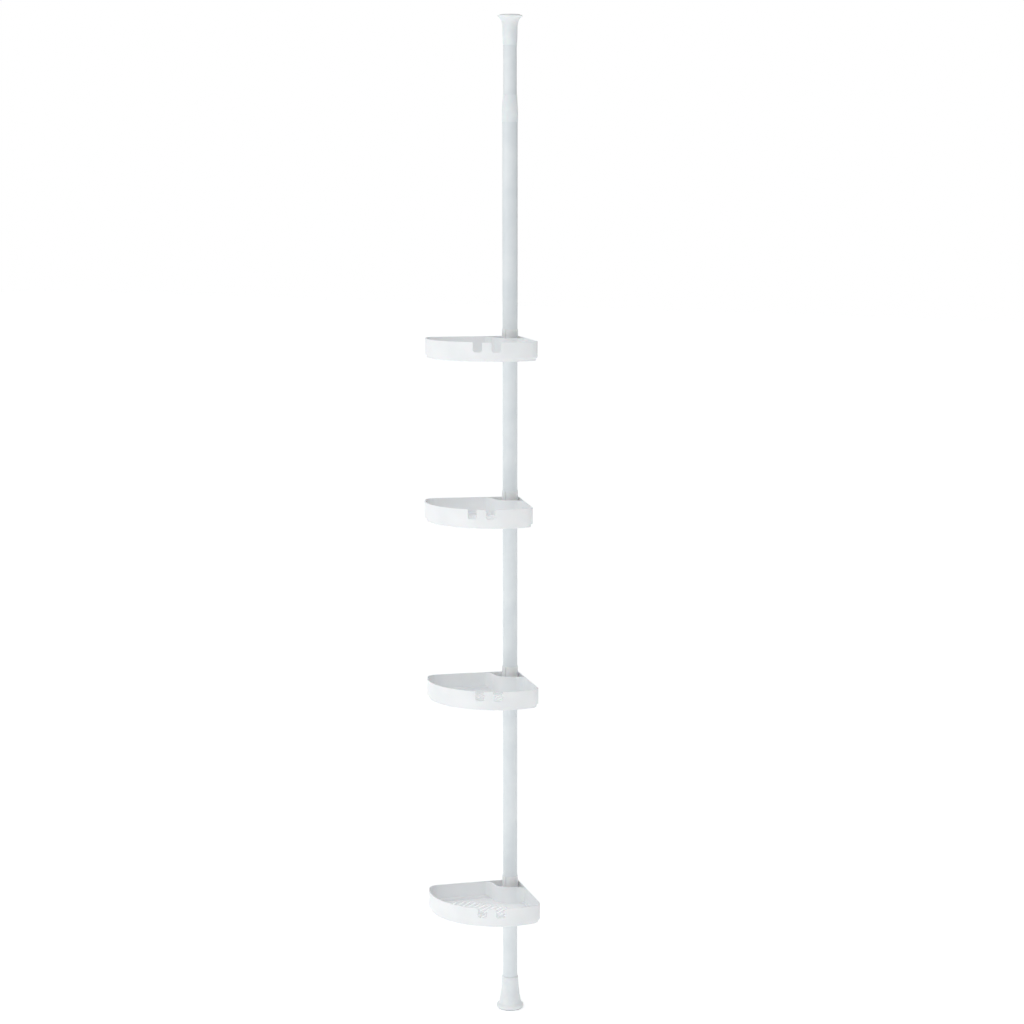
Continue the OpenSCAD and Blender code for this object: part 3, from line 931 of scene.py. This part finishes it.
def camera():
    data = bpy.data.cameras.new("camera")
    data.lens = CAMERA_LENS
    data.sensor_width = 36
    data.clip_end = 60
    view = bpy.data.objects.new("camera", data)
    bpy.context.scene.collection.objects.link(view)
    view.location = (
        CAMERA_DISTANCE * math.sin(CAMERA_AZIMUTH), -CAMERA_DISTANCE * math.cos(CAMERA_AZIMUTH),
        CAMERA_HEIGHT,
    )
    view.rotation_euler = (math.pi / 2 - CAMERA_PITCH, 0, CAMERA_AZIMUTH - CAMERA_YAW)
    bpy.context.scene.camera = view


def softbox(name, azimuth, distance, height, size, power, tint="#FFFFFF"):
    """A square light at an azimuth from the camera's side, aimed at the middle of the object."""
    data = bpy.data.lights.new(name, "AREA")
    data.shape = "RECTANGLE"
    data.size, data.size_y = size
    data.energy = power
    data.color = linear(tint)[:3]
    light = bpy.data.objects.new(name, data)
    bpy.context.scene.collection.objects.link(light)
    turn = CAMERA_AZIMUTH + math.radians(azimuth)
    light.location = (distance * math.sin(turn), -distance * math.cos(turn), height)
    aim = Vector((0, 0, 0.85)) - light.location
    light.rotation_mode = "QUATERNION"
    light.rotation_quaternion = aim.to_track_quat("-Z", "Y")


def studio():
    scene = bpy.context.scene
    scene.view_settings.view_transform = "Standard"
    world = bpy.data.worlds.new("studio")
    scene.world = world
    world.use_nodes = True
    tree = world.node_tree
    tree.nodes.clear()
    # The soft light around the object is strongest overhead and on the left, weakest on the right.
    where = add(tree, "ShaderNodeTexCoord")
    slope = (-0.30 * math.cos(CAMERA_AZIMUTH), -0.30 * math.sin(CAMERA_AZIMUTH), 0.86)
    sides = {0: where.outputs["Generated"], 1: slope}
    tilt = add(tree, "ShaderNodeVectorMath", sides, operation="DOT_PRODUCT")
    amount = add(tree, "ShaderNodeMath", {0: tilt.outputs["Value"], 1: 0.28}, operation="ADD", use_clamp=True)
    ambient = add(tree, "ShaderNodeBackground", {"Color": linear("#F8FAFB"), "Strength": amount.outputs[0]})
    backdrop = add(tree, "ShaderNodeBackground", {"Color": linear("#FFFFFF"), "Strength": 1.0})
    path = add(tree, "ShaderNodeLightPath")
    seen = add(tree, "ShaderNodeMixShader", {
        0: path.outputs["Is Camera Ray"], 1: ambient.outputs[0], 2: backdrop.outputs[0],
    })
    add(tree, "ShaderNodeOutputWorld", {"Surface": seen.outputs[0]})
    softbox("key", -62, 3.6, 1.9, (1.4, 3.2), 3)
    softbox("strip", -44, 3.6, 1.5, (0.32, 3.4), 4)
    softbox("front", -15, 3.4, 3.1, (2.2, 1.4), 10)

    floor_mesh = bpy.data.meshes.new("floor")
    half = 20
    corners = [(-half, -half, 0), (half, -half, 0), (half, half, 0), (-half, half, 0)]
    floor_mesh.from_pydata(corners, [], [(0, 1, 2, 3)])
    floor = place_mesh("floor", floor_mesh)
    material, tree, shader, where = new_material("pale_floor", Roughness=0.9, Specular_IOR_Level=0.1)
    shader.inputs["Base Color"].default_value = linear("#F4F5F5")
    shader.inputs["Emission Color"].default_value = linear("#FFFFFF")
    shader.inputs["Emission Strength"].default_value = 0.33
    floor_mesh.materials.append(material)


pole_sections()
joiners()
foot()
reducer()
top_cap()
end_pads()
twist_lock()
spring_and_seat()
trays()
clips()
camera()
studio()
